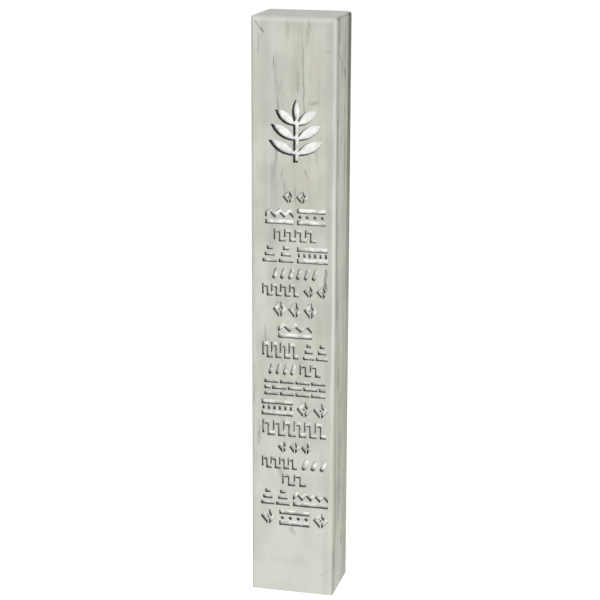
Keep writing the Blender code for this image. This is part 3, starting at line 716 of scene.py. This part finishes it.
def make_pad(side, foam, skin, seed):
    """Foam tape: a soft core that bulges and dips at its cut sides, between two thin adhesive skins."""
    node = f"{side}_foam_pad"
    low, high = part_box(node)
    thickness = high.y - low.y
    grid = flat_grid(low, high, TAPE_CORNER, rows=44, columns=2)
    outline = [(row[0][0], row[0][1]) for row in grid]
    outline += [(x, grid[-1][0][1]) for x in (-3 * MM, 0.0, 3 * MM)]
    outline += [(row[-1][0], row[-1][1]) for row in reversed(grid)]
    outline += [(x, grid[0][0][1]) for x in (3 * MM, 0.0, -3 * MM)]
    middle_z = (low.z + high.z) / 2
    half_spine = (high.z - low.z) / 2 - (high.x - low.x) / 2

    def ring(inset, share):
        """The outline at one share of the thickness, drawn inwards by the inset in millimetres."""
        points = []
        for x, z in outline:
            spine = max(-half_spine, min(half_spine, z - middle_z)) + middle_z
            inward = Vector((-x, spine - z))
            reach = inset * MM
            if 0.1 < share < 0.9:
                reach += TAPE_SIDE_RIPPLE * ripple(x / MM + 9 * share, z / MM, seed)
            moved = Vector((x, z)) + inward.normalized() * min(reach, inward.length)
            dimple = TAPE_FACE_DIMPLE * ripple(moved.x / (2 * MM), moved.y / (2 * MM), seed + 1)
            points.append((moved.x, low.y + thickness * share + dimple, moved.y))
        return points

    rings = [ring(inset, 0.0) for inset in TAPE_FACE_RINGS]
    rings += [ring(inset, share) for inset, share in TAPE_PROFILE]
    rings += [ring(inset, 1.0) for inset in reversed(TAPE_FACE_RINGS)]
    size = len(outline)
    points = [point for level in rings for point in level]
    faces, core = [], []
    for level in range(len(rings) - 1):
        here, above = level * size, (level + 1) * size
        for i in range(size):
            j = (i + 1) % size
            core.append(level in FOAM_RINGS)
            faces.append((here + i, here + j, above + j, above + i))
    faces.append(tuple(range(size)))
    faces.append(tuple(range((len(rings) - 1) * size, len(rings) * size)))
    piece = add_soft_piece(f"{side}_foam_tape", (points, faces), [skin, foam], "case", node)
    for face, is_core in zip(piece.data.polygons, core):
        face.material_index = 1 if is_core else 0


def rolled_sheet(centre, low_z, high_z, roll, rows):
    """A sheet rolled about an upright axis, as a closed thin shell."""
    columns = round(roll.turns * COLUMNS_PER_TURN)
    outer_side, inner_side = [], []
    for i in range(rows + 1):
        share = i / rows
        outer_side.append([])
        inner_side.append([])
        for j in range(columns + 1):
            turn = roll.turns * j / columns
            angle = math.tau * turn
            telescoped = 0.5 - turn / roll.turns
            top = high_z + roll.end_drift * (telescoped + 0.6 * ripple(turn * 2.2, 3.0, roll.seed))
            foot = low_z - roll.end_drift * (telescoped + 0.6 * ripple(turn * 2.0, 8.0, roll.seed))
            z = foot + (top - foot) * share
            wrinkle = roll.wrinkle * ripple(turn * 6.0, z / (14 * MM), roll.seed)
            radius = roll.inner + roll.pitch * turn + wrinkle
            for side, extra in ((inner_side, 0.0), (outer_side, roll.thickness)):
                side[-1].append((
                    centre[0] + (radius + extra) * math.cos(angle),
                    centre[1] + (radius + extra) * math.sin(angle),
                    z,
                ))
    return closed_sheet(outer_side, inner_side)


def make_roll(parchment_material, film_material):
    """The parchment, its turns slightly telescoped, and the clear film round it."""
    plug_low, plug_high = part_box("silicone_stopper")
    centre = ((plug_low.x + plug_high.x) / 2, (plug_low.y + plug_high.y) / 2)
    low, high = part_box("parchment_scroll")
    sheet = rolled_sheet(centre, low.z, high.z, PARCHMENT_ROLL, PARCHMENT_ROWS)
    add_soft_piece("rolled_parchment", sheet, [parchment_material], "scroll", "parchment_scroll")
    low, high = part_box("clear_scroll_wrap")
    film = rolled_sheet(centre, low.z + FILM_END_INSET, high.z - FILM_END_INSET, FILM_ROLL, FILM_ROWS)
    add_soft_piece("rolled_clear_film", film, [film_material], "scroll", "clear_scroll_wrap")


# Stage

LIGHT_DISTANCE = 1.2
LIGHT_SIZE = 0.9
FLOOR_HEIGHT = -0.3
FLOOR_RADIUS = 6.0
ROOM_LIGHT = 0.42

# The camera's angles in degrees, and its distances as shares of the case's height
CAMERA_AZIMUTH = 13.96
CAMERA_ELEVATION = 14.78
CAMERA_ROLL = 0.217
CAMERA_LENS = 109.7
CAMERA_DISTANCE = 3.119
CAMERA_RIGHT = -0.0009
CAMERA_UP = 0.0137


def make_floor():
    """A wide pale floor, low enough for the stopper and the scroll to come out above it."""
    bpy.ops.mesh.primitive_circle_add(
        vertices=64, radius=FLOOR_RADIUS, fill_type="NGON", location=(0, 0, FLOOR_HEIGHT),
    )
    floor = bpy.context.object
    floor.name = "floor"
    n = Nodes("pale_floor")
    n.set(Base_Color=(0.9, 0.9, 0.9), Roughness=0.9, Emission_Color=(1, 1, 1), Emission_Strength=0.65)
    floor.data.materials.append(n.material)


def outwards(azimuth, elevation):
    """Direction from the case towards an azimuth, from its front, and an elevation, in degrees."""
    a, e = math.radians(azimuth), math.radians(elevation)
    return Vector((math.sin(a) * math.cos(e), -math.cos(a) * math.cos(e), math.sin(e)))


def make_light(name, azimuth, elevation, power):
    """A square soft light aimed at the case's middle."""
    data = bpy.data.lights.new(name, "AREA")
    data.shape = "SQUARE"
    data.size = LIGHT_SIZE
    data.energy = power
    light = bpy.data.objects.new(name, data)
    bpy.context.scene.collection.objects.link(light)
    away = outwards(azimuth, elevation)
    light.location = CASE_CENTRE + away * LIGHT_DISTANCE
    light.rotation_mode = "QUATERNION"
    light.rotation_quaternion = away.to_track_quat("Z", "Y")


def make_world(strength):
    """Even white surroundings: as bright as white paper to the camera, and dimmer as a light."""
    world = bpy.data.worlds.new("white_room")
    world.use_nodes = True
    background = world.node_tree.nodes["Background"]
    background.inputs["Color"].default_value = (1, 1, 1, 1)
    seen = world.node_tree.nodes.new("ShaderNodeMapRange")
    seen.inputs["To Min"].default_value = strength
    seen.inputs["To Max"].default_value = 1.0
    rays = world.node_tree.nodes.new("ShaderNodeLightPath")
    world.node_tree.links.new(rays.outputs["Is Camera Ray"], seen.inputs["Value"])
    world.node_tree.links.new(seen.outputs["Result"], background.inputs["Strength"])
    bpy.context.scene.world = world


def make_camera():
    """A long lens, from a little to the right of the front and above."""
    data = bpy.data.cameras.new("camera")
    data.sensor_width = 36.0
    data.lens = CAMERA_LENS
    data.clip_start = 0.01
    data.clip_end = 20.0
    camera = bpy.data.objects.new("camera", data)
    bpy.context.scene.collection.objects.link(camera)
    back = outwards(CAMERA_AZIMUTH, CAMERA_ELEVATION)
    turn = back.to_track_quat("Z", "Y").to_matrix() @ Matrix.Rotation(math.radians(CAMERA_ROLL), 3, "Z")
    right, up = turn.col[0], turn.col[1]
    place = back * CAMERA_DISTANCE + right * CAMERA_RIGHT + up * CAMERA_UP
    camera.matrix_world = Matrix.Translation(CASE_CENTRE + place * CASE_SIZE.z) @ turn.to_4x4()
    bpy.context.scene.camera = camera


dress(cast_resin(), "case_body")
dress(silver_inlay(), "emblem_inlay")
dress(silicone(), "silicone_stopper")
make_roll(parchment(), clear_film())
foam, skin, film = adhesive_foam(), adhesive_skin(), release_liner()
for number, side in enumerate(("upper", "lower")):
    make_pad(side, foam, skin, 3 + number)
    make_liner(side, f"{side}_liner", film, 5 + number)
level_flats("case_body")

make_world(ROOM_LIGHT)
make_floor()
make_light("front_key", azimuth=-22, elevation=12, power=3.9)
make_light("overhead", azimuth=20, elevation=75, power=2.3)
make_light("back_fill", azimuth=180, elevation=8, power=0.9)
make_camera()
bpy.context.scene.view_settings.view_transform = "Standard"
